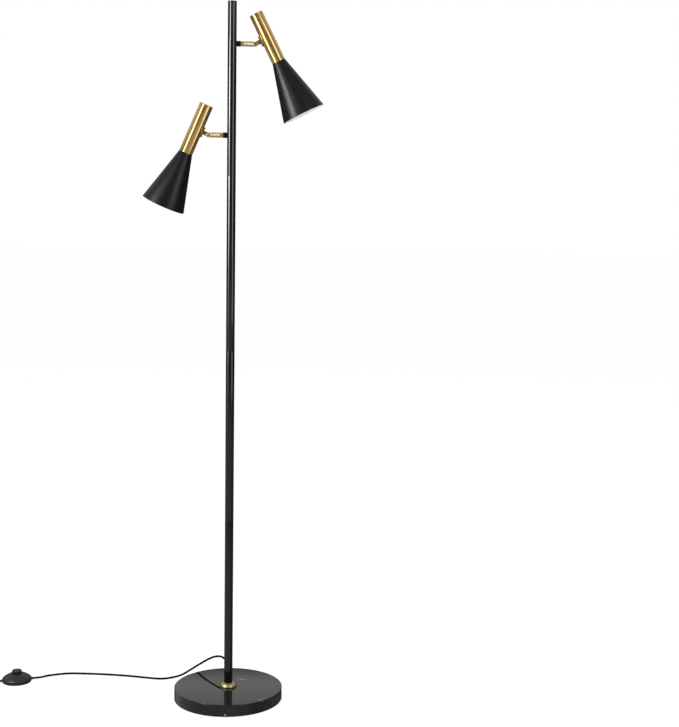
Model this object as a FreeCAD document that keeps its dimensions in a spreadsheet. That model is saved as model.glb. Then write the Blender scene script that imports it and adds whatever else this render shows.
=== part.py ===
import FreeCAD, Part
import math
import os
import Sketcher
from FreeCAD import Vector, Rotation, Placement

# Tree floor lamp: a marble disc, a slim pole in four screwed sections, two side arms with a
# swivel and a hinge each, two gold tubes with conical shades, a mains lead with a foot switch.
# Millimetres, +Z up, the origin at the middle of the base's underside. The upper arm points
# along +X, the lower arm along -X, and the lead leaves the pole at its back, towards +Y.

os.makedirs("parts", exist_ok=True)
doc = FreeCAD.newDocument("tree_floor_lamp")
sheet = doc.addObject("Spreadsheet::Sheet", "dims")

DIMS = [
    # base
    ("pad_thk", 0.8, "felt pad thickness"),
    ("pad_dia", 242, "felt pad diameter"),
    ("base_dia", 253.2, "marble disc diameter"),
    ("base_thk", 27.7, "marble disc thickness"),
    ("base_bevel", 0.9, "bevel of the marble's edges"),
    ("base_bore", 11, "bore through the marble"),
    ("recess_dia", 48, "recess under the marble"),
    ("recess_deep", 8, "depth of that recess"),
    ("washer_dia", 36, "washer in the recess"),
    ("washer_thk", 2, "washer thickness"),
    ("stud_dia", 10, "hollow stud"),
    ("stud_bore", 6.6, "bore of the hollow stud"),
    ("stud_top", 49, "top of the stud above the floor"),
    ("nut_flat", 16, "base nut across flats"),
    ("nut_thk", 5, "base nut thickness"),
    ("ring_dia", 39.8, "gold ring nut on the base"),
    ("ring_high", 9.6, "height of the gold ring nut"),
    # pole
    ("pole_dia", 20, "pole diameter"),
    ("pole_wall", 1.2, "pole wall"),
    ("plug_top", 53, "top of the threaded plug in the pole's foot"),
    ("seam_one", 427, "first seam above the floor"),
    ("seam_two", 825, "second seam above the floor"),
    ("seam_three", 1223, "third seam above the floor"),
    ("seam_gap", 0.15, "half of the fine groove at a seam"),
    ("pole_top", 1609, "top of the pole tube"),
    ("cap_thk", 2, "visible thickness of the pole's top cap"),
    ("coupler_len", 36, "hollow coupler length"),
    ("coupler_bore", 11, "hollow coupler bore"),
    ("lead_dia", 5, "mains lead diameter"),
    ("outlet_z", 70.5, "height of the lead's outlet in the pole"),
    ("outlet_dia", 8, "hole for the lead's outlet"),
    # arms
    ("arm_upper_z", 1517.6, "height of the upper arm"),
    ("arm_lower_z", 1314, "height of the lower arm"),
    ("collar_dia", 12.6, "black collar on the pole"),
    ("collar_end", 19.4, "collar's outer end from the pole's axis"),
    ("nipple_dia", 7, "hollow nipple through the pole wall"),
    ("nipple_bore", 4.4, "bore of the nipple"),
    ("nipple_start", 4.4, "inner end of the nipple from the pole's axis"),
    ("nipple_end", 40, "outer end of the nipple from the pole's axis"),
    ("rod_dia", 11.5, "gold rod"),
    ("ring_end", 26.5, "end of the fixed gold ring from the pole's axis"),
    ("swivel_gap", 0.3, "seam between fixed ring and rod"),
    ("rod_bore", 7.16, "bore of the rod over the nipple"),
    ("pivot_out", 52, "hinge axis from the pole's axis"),
    ("rod_end", 58.4, "outer end of the rod"),
    ("slot_wide", 4.6, "slot in the rod's end"),
    ("slot_start", 46.6, "bottom of the slot from the pole's axis"),
    ("nose_dia", 5.6, "rod's end diameter after the taper"),
    ("nose_start", 54.4, "start of the taper"),
    ("hinge_dia", 3.5, "hinge screw shaft"),
    ("hinge_fit", 0.1, "play of the tongue on the hinge screw"),
    # heads
    ("tube_dia", 31, "head tube"),
    ("tube_wall", 1.2, "head tube wall"),
    ("tube_axis", 30.7, "tube axis from the hinge"),
    ("tube_up", 59.4, "tube end above the hinge level"),
    ("tube_down", 57.2, "tube's lower end below the hinge level"),
    ("cap_high", 4, "visible height of the tube's end cap"),
    ("shade_len", 129, "shade length along its axis"),
    ("mouth_dia", 100.6, "shade mouth"),
    ("shade_wall", 1, "shade wall"),
    ("neck_len", 10, "shade's neck inside the tube"),
    ("tongue_thk", 4, "tongue thickness"),
    ("saddle_long", 24.5, "saddle plate length"),
    ("saddle_wide", 12, "saddle plate width"),
    ("holder_dia", 23, "lampholder"),
    ("bulb_dia", 45, "bulb"),
    # foot switch
    ("switch_x", -512.3, "foot switch centre"),
    ("switch_y", 131.2, "foot switch centre"),
    ("switch_turn", 13, "turn of the switch about the vertical, degrees"),
    ("switch_dia", 69.7, "foot switch diameter"),
    ("switch_plate", 3, "foot switch base plate"),
    ("switch_high", 21.2, "foot switch cover height"),
    ("switch_wall", 1.8, "foot switch cover wall"),
    ("button_dia", 23.2, "push button"),
    ("button_hole", 24.4, "hole in the cover for the button"),
    ("button_top", 28.8, "top of the push button"),
    ("relief_len", 22, "gland and plug relief length outside the housing"),
    ("switch_relief_len", 12, "switch relief length outside the housing"),
    ("entry_z", 5, "height of the lead's entries in the switch"),
    # coil and plug
    ("coil_x", -641, "coil centre"),
    ("coil_y", 141, "coil centre"),
    ("coil_mean", 57, "coil mean diameter"),
    ("coil_wide", 16, "coil section width"),
    ("coil_high", 14, "coil section height"),
    ("plug_x", -676, "plug centre line"),
    ("plug_y", 247, "plug body's rear face"),
    ("plug_z", 7.6, "plug centre line above the floor"),
    ("plug_wide", 26, "plug body width"),
    ("plug_thk", 15.2, "plug body thickness"),
    ("plug_long", 30, "plug body length"),
    ("blade_gap", 12.7, "distance of the blades"),
    ("blade_wide", 6.35, "blade width"),
    ("blade_thk", 1.5, "blade thickness"),
    ("blade_long", 16, "blade length"),
]
D = {}
for row, (alias, value, note) in enumerate(DIMS, start=1):
    sheet.set("A%d" % row, note)
    sheet.set("B%d" % row, str(value))
    sheet.setAlias("B%d" % row, alias)
    D[alias] = float(value)
doc.recompute()


class Q:
    """A size with the expression that drives it."""

    def __init__(self, v, e):
        self.v, self.e = v, e

    @staticmethod
    def of(x):
        return x if isinstance(x, Q) else Q(float(x), "%.6g" % x)

    def _op(self, o, sign, f, flip=False):
        a, b = (Q.of(o), self) if flip else (self, Q.of(o))
        return Q(f(a.v, b.v), "(%s %s %s)" % (a.e, sign, b.e))

    def __add__(self, o): return self._op(o, "+", lambda a, b: a + b)
    def __radd__(self, o): return self._op(o, "+", lambda a, b: a + b, True)
    def __sub__(self, o): return self._op(o, "-", lambda a, b: a - b)
    def __rsub__(self, o): return self._op(o, "-", lambda a, b: a - b, True)
    def __mul__(self, o): return self._op(o, "*", lambda a, b: a * b)
    def __rmul__(self, o): return self._op(o, "*", lambda a, b: a * b, True)
    def __truediv__(self, o): return self._op(o, "/", lambda a, b: a / b)
    def __neg__(self): return Q(-self.v, "(0 - %s)" % self.e)


def S(alias):
    return Q(D[alias], "dims." + alias)


def plane_of(body, role):
    return [f for f in body.Origin.OriginFeatures if f.Role == role][0]


def sketch_on(body, role, name, lift=None):
    sk = body.newObject("Sketcher::SketchObject", name)
    sk.AttachmentSupport = [(plane_of(body, role), "")]
    sk.MapMode = "FlatFace"
    if lift is not None:
        lift = Q.of(lift)
        sk.AttachmentOffset = Placement(Vector(0, 0, lift.v), Rotation())
        sk.setExpression("AttachmentOffset.Base.z", lift.e)
    return sk


def pin(sk, geo, pos, x, y):
    """Fix a sketch point at (x, y) with driven distances from the origin."""
    for kind, axis, q in (("DistanceX", -2, x), ("DistanceY", -1, y)):
        q = Q.of(q)
        if abs(q.v) < 1e-9:
            sk.addConstraint(Sketcher.Constraint("PointOnObject", geo, pos, axis))
        else:
            n = sk.addConstraint(Sketcher.Constraint(kind, -1, 1, geo, pos, q.v))
            sk.setExpression("Constraints[%d]" % n, q.e)


def outline(sk, pts):
    """Closed outline. Each point is (x, y) or (x, y, R): R bends the edge that arrives there,
    with its centre to the left of the way for R > 0 and to the right for R < 0."""
    n = len(pts)
    xy = [(Q.of(p[0]), Q.of(p[1])) for p in pts]
    first = sk.GeometryCount
    ends = []
    for i in range(n):
        j = (i + 1) % n
        a = Vector(xy[i][0].v, xy[i][1].v, 0)
        b = Vector(xy[j][0].v, xy[j][1].v, 0)
        if len(pts[j]) > 2:
            rad = float(pts[j][2])
            r = abs(rad)
            ch = b - a
            h2 = r * r - ch.Length ** 2 / 4.0
            left = Vector(-ch.y, ch.x, 0)
            left.normalize()
            side = 1 if rad > 0 else -1
            c = (a + b) * 0.5 + left * (side * math.sqrt(max(h2, 0)))
            sa, ea = math.atan2(a.y - c.y, a.x - c.x), math.atan2(b.y - c.y, b.x - c.x)
            circle = Part.Circle(c, Vector(0, 0, 1), r)
            if side > 0:      # counter-clockwise from a to b
                g = sk.addGeometry(Part.ArcOfCircle(circle, sa, ea if ea > sa else ea + 2 * math.pi), False)
                ends.append((g, 1, 2))
            else:
                g = sk.addGeometry(Part.ArcOfCircle(circle, ea, sa if sa > ea else sa + 2 * math.pi), False)
                ends.append((g, 2, 1))
            sk.addConstraint(Sketcher.Constraint("Radius", g, r))
        else:
            g = sk.addGeometry(Part.LineSegment(a, b), False)
            ends.append((g, 1, 2))
    for i in range(n):
        g, s, e = ends[i]
        gp, sp, ep = ends[i - 1]
        sk.addConstraint(Sketcher.Constraint("Coincident", gp, ep, g, s))
        pin(sk, g, s, xy[i][0], xy[i][1])
    return first


def circles(sk, items):
    for x, y, r in items:
        r = Q.of(r)
        g = sk.addGeometry(Part.Circle(Vector(Q.of(x).v, Q.of(y).v, 0), Vector(0, 0, 1), r.v), False)
        n = sk.addConstraint(Sketcher.Constraint("Radius", g, r.v))
        sk.setExpression("Constraints[%d]" % n, r.e)
        pin(sk, g, 3, x, y)


def new_body(label):
    b = doc.addObject("PartDesign::Body", label)
    b.Label = label
    return b


def turn(label, pts, name="Profile", body=None):
    """A turned piece: the outline (radius, height) turned about the vertical axis."""
    b = body or new_body(label)
    sk = sketch_on(b, "XZ_Plane", label + name)
    outline(sk, pts)
    f = b.newObject("PartDesign::Revolution", label + name + "Turn")
    f.Profile = sk
    f.ReferenceAxis = (sk, ["V_Axis"])
    f.Angle = 360
    f.Reversed = False
    b.Tip = f
    doc.recompute()
    return b


def groove(b, pts, name):
    sk = sketch_on(b, "XZ_Plane", b.Label + name)
    outline(sk, pts)
    before = b.Shape.Volume
    f = b.newObject("PartDesign::Groove", b.Label + name + "Cut")
    f.Profile = sk
    f.ReferenceAxis = (sk, ["V_Axis"])
    f.Angle = 360
    b.Tip = f
    doc.recompute()
    assert b.Shape.Volume < before - 1e-3, (b.Label, name, "cut nothing")
    return b


def pad(b, role, draw, length, name, lift=None, mid=False, back=False):
    sk = sketch_on(b, role, b.Label + name, lift)
    draw(sk)
    f = b.newObject("PartDesign::Pad", b.Label + name + "Pad")
    f.Profile = sk
    q = Q.of(length)
    f.Length = q.v
    f.setExpression("Length", q.e)
    if mid:
        f.Midplane = True
    f.Reversed = back
    b.Tip = f
    doc.recompute()
    return b


def pocket(b, role, draw, length, name, lift=None, mid=False, back=False):
    before = b.Shape.Volume
    sk = sketch_on(b, role, b.Label + name, lift)
    draw(sk)
    f = b.newObject("PartDesign::Pocket", b.Label + name + "Pocket")
    f.Profile = sk
    q = Q.of(length)
    f.Length = q.v
    f.setExpression("Length", q.e)
    if mid:
        f.Midplane = True
    f.Reversed = back
    b.Tip = f
    doc.recompute()
    assert b.Shape.Volume < before - 1e-3, (b.Label, name, "cut nothing", before, b.Shape.Volume)
    return b


def hexagon(flat):
    flat = Q.of(flat)
    def draw(sk):
        r = flat / math.sqrt(3)
        outline(sk, [(r * math.cos(math.radians(60 * k)), r * math.sin(math.radians(60 * k))) for k in range(6)])
    return draw


def rect(x0, y0, x1, y1):
    def draw(sk):
        outline(sk, [(x0, y0), (x1, y0), (x1, y1), (x0, y1)])
    return draw


def tube_pts(r_out, r_in, z0, z1):
    return [(r_in, z0), (r_out, z0), (r_out, z1), (r_in, z1)]


NODES = []


def keep(obj, place=None):
    if place is not None:
        obj.Placement = place
    NODES.append(obj)
    return obj


def shape_node(label, shape, place=None):
    o = doc.addObject("Part::Feature", label)
    o.Label = label
    o.Shape = shape
    if place is not None:
        o.Placement = place
    NODES.append(o)
    return o


def at(x, y, z, rot=None):
    return Placement(Vector(x, y, z), rot or Rotation())


def cylinder(name, radius, height, place):
    c = doc.addObject("Part::Cylinder", name)
    r, h = Q.of(radius), Q.of(height)
    c.setExpression("Radius", r.e)
    c.setExpression("Height", h.e)
    c.Radius, c.Height = r.v, h.v
    c.Placement = place
    return c


def screws(label, spots, head_r, head_h, shaft_r, shaft_l, place):
    """A group of equal screws: each spot is a placement whose +Z is the way the screw goes in."""
    parts = []
    for k, spot in enumerate(spots):
        head = cylinder("%s_head%d" % (label, k), head_r, head_h, spot.multiply(at(0, 0, -Q.of(head_h).v)))
        shaft = cylinder("%s_shaft%d" % (label, k), shaft_r, shaft_l, spot.multiply(at(0, 0, -0.01)))
        f = doc.addObject("Part::Fuse", "%s_screw%d" % (label, k))
        f.Base, f.Tool = head, shaft
        parts.append(f)
    c = doc.addObject("Part::Compound", label)
    c.Label = label
    c.Links = parts
    doc.recompute()
    return keep(c, place)



# ---------------------------------------------------------------- base
half = Q.of(0.5)
pad_thk, base_thk = S("pad_thk"), S("base_thk")
base_r, bev = S("base_dia") / 2, S("base_bevel")

keep(turn("base_pad", [(0, 0), (S("pad_dia") / 2, 0), (S("pad_dia") / 2, pad_thk), (0, pad_thk)]))

marble_top = pad_thk + base_thk
recess_top = pad_thk + S("recess_deep")
keep(turn("marble_base", [
    (S("base_bore") / 2, recess_top), (S("recess_dia") / 2, recess_top), (S("recess_dia") / 2, pad_thk),
    (base_r - bev, pad_thk), (base_r, pad_thk + bev), (base_r, marble_top - bev), (base_r - bev, marble_top),
    (S("base_bore") / 2, marble_top)]))

washer_low = recess_top - S("washer_thk")
keep(turn("base_washer", tube_pts(S("washer_dia") / 2, S("stud_dia") / 2, washer_low, recess_top)))

nut = new_body("base_nut")
pad(nut, "XY_Plane", hexagon(S("nut_flat")), S("nut_thk"), "Hex", lift=washer_low - S("nut_thk"))
pocket(nut, "XY_Plane", lambda sk: circles(sk, [(0, 0, S("stud_dia") / 2)]), 40, "Bore", mid=True)
keep(nut)

keep(turn("base_stud", tube_pts(S("stud_dia") / 2, S("stud_bore") / 2, washer_low - S("nut_thk") + 0.2, S("stud_top"))))

rr, rh = S("ring_dia") / 2, S("ring_high")
keep(turn("foot_ring", [
    (S("pole_dia") / 2, marble_top), (rr - 0.9, marble_top), (rr, marble_top + 1.1, 1.4), (rr, marble_top + 2.4),
    (S("pole_dia") / 2 + 2.4, marble_top + rh - 0.3, 9.6), (S("pole_dia") / 2 + 1.6, marble_top + rh, 1.2),
    (S("pole_dia") / 2, marble_top + rh)]))

# ---------------------------------------------------------------- pole
pr, pi_ = S("pole_dia") / 2, S("pole_dia") / 2 - S("pole_wall")
g = S("seam_gap")
keep(turn("pole_section_1", [
    (S("stud_dia") / 2, marble_top), (pr, marble_top), (pr, S("seam_one") - g), (pi_, S("seam_one") - g),
    (pi_, S("plug_top")), (S("stud_dia") / 2, S("plug_top"))]))
hole = pocket(NODES[-1], "XZ_Plane", lambda sk: circles(sk, [(0, S("outlet_z"), S("outlet_dia") / 2)]), 14,
              "Outlet", back=False)
keep(turn("pole_section_2", tube_pts(pr, pi_, S("seam_one") + g, S("seam_two") - g)))
keep(turn("pole_section_3", tube_pts(pr, pi_, S("seam_two") + g, S("seam_three") - g)))
keep(turn("pole_section_4", tube_pts(pr, pi_, S("seam_three") + g, S("pole_top"))))
upper = NODES[-1]

# three equal hollow couplers, one behind each seam
couplers = []
for k, z in enumerate(("seam_one", "seam_two", "seam_three"), start=1):
    low = D[z] - D["coupler_len"] / 2
    tube = doc.addObject("Part::Cut", "pole_coupler_%d" % k)
    tube.Base = cylinder("coupler_%d_outside" % k, pi_, S("coupler_len"), at(0, 0, low))
    tube.Tool = cylinder("coupler_%d_bore" % k, S("coupler_bore") / 2, S("coupler_len"), at(0, 0, low))
    couplers.append(tube)
group = doc.addObject("Part::Compound", "pole_couplers")
group.Label = "pole_couplers"
group.Links = couplers
doc.recompute()
keep(group)

keep(turn("pole_cap", [
    (0, S("pole_top") - 8), (pi_ - 0.05, S("pole_top") - 8), (pi_ - 0.05, S("pole_top")), (pr, S("pole_top")),
    (pr, S("pole_top") + S("cap_thk") - 0.6), (pr - 0.6, S("pole_top") + S("cap_thk")), (0, S("pole_top") + S("cap_thk"))]))

# holes for the arms' nipples in the top section, one on each side
pocket(upper, "YZ_Plane", lambda sk: circles(sk, [(0, S("arm_upper_z"), S("nipple_dia") / 2)]), 14, "HoleRight", back=True)
pocket(upper, "YZ_Plane", lambda sk: circles(sk, [(0, S("arm_lower_z"), S("nipple_dia") / 2)]), 14, "HoleLeft")

# ---------------------------------------------------------------- arms and heads
SWIVEL = {"upper": 0.0, "lower": 6.6}      # turn about the arm as it stands
TILT = {"upper": 26.6, "lower": 23.45}       # tilt of the tube from the vertical
AX, AY, AZ = Vector(1, 0, 0), Vector(0, 1, 0), Vector(0, 0, 1)


def arm_place(which, turned):
    side = 1 if which == "upper" else -1
    rot = Rotation(AY, 90 * side)
    if turned:
        rot = Rotation(AX, SWIVEL[which]).multiply(rot)
    return Placement(Vector(0, 0, D["arm_%s_z" % which]), rot)


def head_place(which, out=0.0):
    side = 1 if which == "upper" else -1
    rot = Rotation(AX, SWIVEL[which]).multiply(Rotation(AY, -side * TILT[which]))
    if side < 0:
        rot = rot.multiply(Rotation(AZ, 180))
    base = Placement(Vector(side * D["pivot_out"], 0, D["arm_%s_z" % which]), rot)
    return base.multiply(Placement(Vector(out, 0, 0), Rotation()))


for which in ("upper", "lower"):
    A = arm_place(which, False)
    AR = arm_place(which, True)
    H = head_place(which)
    T = head_place(which, D["tube_axis"])
    n = lambda s: which + "_" + s

    # collar: turned, then cut to sit on the pole
    cr = S("collar_dia") / 2
    c = turn(n("arm_collar"), [
        (S("nipple_dia") / 2 + 0.05, 6), (cr, 6), (cr, S("collar_end") - 1.4), (cr - 1.3, S("collar_end"), 1.35),
        (S("nipple_dia") / 2 + 0.05, S("collar_end"))])
    pocket(c, "YZ_Plane", lambda sk: circles(sk, [(0, 0, S("pole_dia") / 2)]), 40, "Seat", mid=True)
    keep(c, A)

    keep(turn(n("arm_nipple"), tube_pts(S("nipple_dia") / 2, S("nipple_bore") / 2, S("nipple_start"), S("nipple_end"))), A)

    # nut inside the pole, with a face that follows the pole's inner wall
    blank = cylinder(n("nut_blank"), 5.2, 5, at(0, 0, D["nipple_start"]))
    wall = cylinder(n("nut_wall"), S("pole_dia") / 2 - S("pole_wall"), 40, Placement(Vector(-20, 0, 0), Rotation(AY, 90)))
    com = doc.addObject("Part::Common", n("nut_round"))
    com.Base, com.Tool = blank, wall
    bore = cylinder(n("nut_bore"), S("nipple_dia") / 2, 20, at(0, 0, 0))
    cut = doc.addObject("Part::Cut", n("arm_nut"))
    cut.Label = n("arm_nut")
    cut.Base, cut.Tool = com, bore
    doc.recompute()
    keep(cut, A)

    rodr = S("rod_dia") / 2
    keep(turn(n("swivel_ring"), [
        (S("nipple_dia") / 2, S("collar_end")), (rodr, S("collar_end")), (rodr, S("ring_end") - 0.2), (rodr - 0.2, S("ring_end")),
        (S("nipple_dia") / 2, S("ring_end"))]), A)

    # rod: bore over the nipple, tapered end, slot, cross hole and two spot faces for the hinge screw
    rs = S("ring_end") + S("swivel_gap")
    r = turn(n("arm_rod"), [
        (S("rod_bore") / 2, rs), (rodr - 0.2, rs), (rodr, rs + 0.2), (rodr, S("nose_start")), (S("nose_dia") / 2, S("rod_end")),
        (0, S("rod_end")), (0, S("nipple_end") + 1.5), (S("rod_bore") / 2, S("nipple_end") + 1.5)])
    pocket(r, "YZ_Plane", lambda sk: outline(sk, [
        (-S("slot_wide") / 2, S("slot_start")), (S("slot_wide") / 2, S("slot_start")),
        (S("slot_wide") / 2, S("rod_end") + 3), (-S("slot_wide") / 2, S("rod_end") + 3)]), 20, "Slot", mid=True)
    pocket(r, "XZ_Plane", lambda sk: circles(sk, [(0, S("pivot_out"), S("hinge_dia") / 2)]), 20, "Hinge", mid=True)
    pocket(r, "XZ_Plane", lambda sk: circles(sk, [(0, S("pivot_out"), 3.6)]), 4, "FaceA", lift=4.5, back=True)
    pocket(r, "XZ_Plane", lambda sk: circles(sk, [(0, S("pivot_out"), 3.6)]), 4, "FaceB", lift=-4.5)
    keep(r, AR)

    # hinge screw and nut, across the slot
    c = new_body(n("hinge_screw"))
    pad(c, "XZ_Plane", lambda sk: circles(sk, [(0, S("pivot_out"), S("hinge_dia") / 2)]), 13, "Shaft", lift=-6.6)
    pad(c, "XZ_Plane", lambda sk: circles(sk, [(0, S("pivot_out"), 3.1)]), 1.9, "Head", lift=4.5)
    pocket(c, "XZ_Plane", lambda sk: outline(sk, [(-4, S("pivot_out") - 0.4), (4, S("pivot_out") - 0.4),
                                                    (4, S("pivot_out") + 0.4), (-4, S("pivot_out") + 0.4)]), 2, "Drive", lift=5.6, back=True)
    keep(c, AR)
    c = new_body(n("hinge_nut"))
    pad(c, "XZ_Plane", lambda sk: outline(sk, [(3.3 * math.cos(math.radians(60 * k)), S("pivot_out") + 3.3 * math.sin(math.radians(60 * k)))
                                                 for k in range(6)]), 2.1, "Hex", lift=-6.6)
    pocket(c, "XZ_Plane", lambda sk: circles(sk, [(0, S("pivot_out"), S("hinge_dia") / 2)]), 40, "Bore", mid=True)
    keep(c, AR)

    # tongue in the slot, widening into the saddle plate on the tube
    ta, tr = S("tube_axis"), S("tube_dia") / 2
    face = ta - tr
    c = new_body(n("head_bracket"))
    pad(c, "XZ_Plane", rect(0, -4.4, face - 1, 4.4), S("tongue_thk"), "Bar", mid=True)
    pad(c, "XZ_Plane", lambda sk: circles(sk, [(0, 0, 4.4)]), S("tongue_thk"), "Eye", mid=True)
    pad(c, "YZ_Plane", lambda sk: outline(sk, [(-4.2, -4.6), (4.2, -4.6), (4.2, 4.6), (-4.2, 4.6)]), 6.4, "Neck", lift=face - 7.2)
    hl = S("saddle_long") / 2
    pad(c, "YZ_Plane", lambda sk: outline(sk, [(-6, -hl + 6), (6, -hl + 6, 6.0001), (6, hl - 6), (-6, hl - 6, 6.0001)]),
        3.8, "Saddle", lift=face - 2.3)
    pocket(c, "XY_Plane", lambda sk: circles(sk, [(ta, 0, tr)]), 60, "Seat", mid=True)
    pocket(c, "XZ_Plane", lambda sk: circles(sk, [(0, 0, S("hinge_dia") / 2 + S("hinge_fit"))]), 20, "Hinge", mid=True)
    pocket(c, "YZ_Plane", lambda sk: circles(sk, [(0, 9, 1.25), (0, -9, 1.25)]), 8, "Screws", lift=face - 4, back=True)
    keep(c, H)
    spots = [Placement(Vector(face.v - 2.3, 0, z), Rotation(AY, 90)) for z in (9, -9)]
    screws(n("saddle_screws"), spots, 2.1, 1.5, 1.25, 5, H)

    up, down, wall_t = S("tube_up"), -S("tube_down"), S("tube_wall")
    c = turn(n("head_tube"), tube_pts(tr, tr - wall_t, down, up - S("cap_high")))
    pocket(c, "YZ_Plane", lambda sk: circles(sk, [(0, 9, 1.25), (0, -9, 1.25), (0, 0, 2.6)]), 20, "Holes")
    keep(c, T)

    fit = tr - wall_t - 0.03
    keep(turn(n("tube_cap"), [
        (fit - 1.2, up - S("cap_high") - 5), (fit, up - S("cap_high") - 5), (fit, up - S("cap_high")), (tr - 0.25, up - S("cap_high")),
        (tr - 0.25, up - S("cap_high") + 0.25), (tr, up - S("cap_high") + 0.25), (tr, up - 0.5), (tr - 0.5, up), (0, up),
        (0, up - 1.5), (fit - 1.2, up - 1.5)]), T)

    zj, zm = down, down - S("shade_len")
    mr = S("mouth_dia") / 2
    keep(turn(n("shade"), [
        (mr - 1.04, zm), (mr, zm), (tr, zj), (fit, zj), (fit, zj + S("neck_len")), (fit - 1, zj + S("neck_len")),
        (fit - 1, zj + 0.3), (9.3, zj + 0.3), (9.3, zj - 1.2), (tr - 0.75, zj - 1.2)]), T)

    hr = S("holder_dia") / 2
    keep(turn(n("lampholder"), [
        (6.3, zj - 13), (9.1, zj - 13), (9.1, zj + 0.3), (hr, zj + 0.3), (hr, zj + 28), (hr - 3.4, zj + 34), (0, zj + 34),
        (0, zj + 6), (6.3, zj + 6)]), T)
    keep(turn(n("shade_ring"), tube_pts(12.8, 9.12, zj - 6.4, zj - 1.2)), T)
    br = S("bulb_dia") / 2
    zc = zj - 46
    keep(turn(n("bulb"), [
        (0, zj + 5), (2.2, zj + 5), (6.0, zj + 3), (6.0, zj - 13.2), (8.4, zj - 15), (8.6, zj - 20), (13.2, zc + 18.22),
        (br, zc, -22.5), (0, zc - br, -22.5)]), T)

# ---------------------------------------------------------------- lead outlet and foot switch
relief = [(0, -3.1), (2.9, -3.1), (2.9, -2.1), (2.5, -2.1), (2.5, 0), (3.2, 0.2), (3.1, 1.6), (2.6, S("switch_relief_len")),
          (0, S("switch_relief_len"))]

back_rot = Rotation(AX, -90)               # local +Z towards +Y
keep(turn("pole_gland", [(0, -3.4), (5.2, -3.4), (5.2, -1.5), (S("outlet_dia") / 2, -1.5), (S("outlet_dia") / 2, 0), (5.2, 0.2),
                         (5.0, 2.2), (2.9, S("relief_len")), (0, S("relief_len"))]),
     Placement(Vector(0, D["pole_dia"] / 2, D["outlet_z"]), back_rot))

SW = at(D["switch_x"], D["switch_y"], 0, Rotation(AZ, D["switch_turn"]))
sr, sw = S("switch_dia") / 2, S("switch_wall")
c = turn("switch_base", [(0, 0), (sr - sw - 2.7, 0), (sr - sw - 1.7, 1), (sr - sw - 1.7, S("switch_plate")), (0, S("switch_plate"))])
pocket(c, "XY_Plane", lambda sk: circles(sk, [(0, 23, 1.5), (0, -23, 1.5)]), 12, "Holes", mid=True)
pocket(c, "XY_Plane", lambda sk: circles(sk, [(0, 23, 2.9), (0, -23, 2.9)]), 1.8, "Heads", back=True)
keep(c, SW)

bh = S("button_hole") / 2
sh = S("switch_high")
c = turn("switch_cover", [
    (sr - sw, 0.6), (sr - 1.1, 0.6), (sr, 2.2), (sr, sh - 12.6), (sr - 0.6, sh - 11.5, 1.4), (bh + 1.5, sh, 62), (bh, sh - 0.6),
    (bh, sh - 2.2), (sr - sw, sh - 13, -60)])
pad(c, "XY_Plane", lambda sk: circles(sk, [(0, 23, 3.2)]), 11.4, "PostA", lift=S("switch_plate"))
pad(c, "XY_Plane", lambda sk: circles(sk, [(0, -23, 3.2)]), 11.4, "PostB", lift=S("switch_plate"))
pocket(c, "XY_Plane", lambda sk: circles(sk, [(0, 23, 1.5), (0, -23, 1.5)]), 10, "PostHoles", lift=S("switch_plate"), back=True)
pocket(c, "YZ_Plane", lambda sk: circles(sk, [(0, S("entry_z"), 2.5)]), 90, "Entries", mid=True)
keep(c, SW)

bt, bb = S("button_top"), S("button_dia") / 2
keep(turn("switch_button", [
    (9.2, sh - 4.4), (13.4, sh - 4.4), (13.4, sh - 2.8), (bb, sh - 2.8), (bb, bt - 2.4), (bb - 1.9, bt - 0.5, 2.0), (1.5, bt, 90), (0, bt),
    (0, bt - 2.4), (9.2, bt - 2.8)]), SW)

c = new_body("switch_block")
pad(c, "XY_Plane", rect(-11, -8, 11, 8), 7, "Block", lift=S("switch_plate"))
pad(c, "XY_Plane", lambda sk: circles(sk, [(0, 0, 4.2)]), 9, "Seat", lift=S("switch_plate"))
keep(c, SW)

z0, z1 = D["switch_plate"] + 7, D["button_top"] - 2.9
helix = Part.makeHelix((z1 - z0 - 1.2) / 5.0, z1 - z0 - 1.2, 5.4)
ring = Part.Wire([Part.Circle(Vector(5.4, 0, 0), Vector(0, 1, 0), 0.5).toShape()])
coil_spring = Part.Wire(helix.Edges).makePipeShell([ring], True, True)
shape_node("switch_spring", coil_spring, SW.multiply(at(0, 0, z0 + 0.6)))

screws("switch_screws", [at(0, y, 1.7) for y in (23, -23)], 2.6, 1.2, 1.45, 9.5, SW)

for name, side in (("switch_relief_in", 1), ("switch_relief_out", -1)):
    keep(turn(name, relief), SW.multiply(Placement(Vector(side * D["switch_dia"] / 2, 0, D["entry_z"]), Rotation(AY, 90 * side))))

# ---------------------------------------------------------------- plug
PL = at(D["plug_x"], D["plug_y"], D["plug_z"])
c = new_body("plug_body")
w2, t2 = S("plug_wide") / 2, S("plug_thk") / 2
pad(c, "XZ_Plane", lambda sk: outline(sk, [
    (-w2 + 5, -t2, 5.0001), (w2 - 5, -t2), (w2, -t2 + 5, 5.0001), (w2, t2 - 5), (w2 - 5, t2, 5.0001), (-w2 + 5, t2),
    (-w2, t2 - 5, 5.0001), (-w2, -t2 + 5)]),
    S("plug_long"), "Body", back=True)
keep(c, PL)
c = doc.addObject("Part::Compound", "plug_blades")
c.Label = "plug_blades"
blades = []
for k, side in enumerate((-1, 1)):
    b = doc.addObject("Part::Box", "blade%d" % k)
    for prop, q in (("Length", S("blade_thk")), ("Width", S("blade_long")), ("Height", S("blade_wide"))):
        b.setExpression(prop, q.e)
    b.Placement = at(side * D["blade_gap"] / 2 - D["blade_thk"] / 2, D["plug_long"], -D["blade_wide"] / 2)
    blades.append(b)
c.Links = blades
doc.recompute()
keep(c, PL)
keep(turn("plug_relief", [(0, 0), (2.9, 0), (4.8, S("relief_len")), (0, S("relief_len"))]),
     Placement(Vector(D["plug_x"], D["plug_y"] - D["relief_len"], D["plug_z"]), back_rot))

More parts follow.
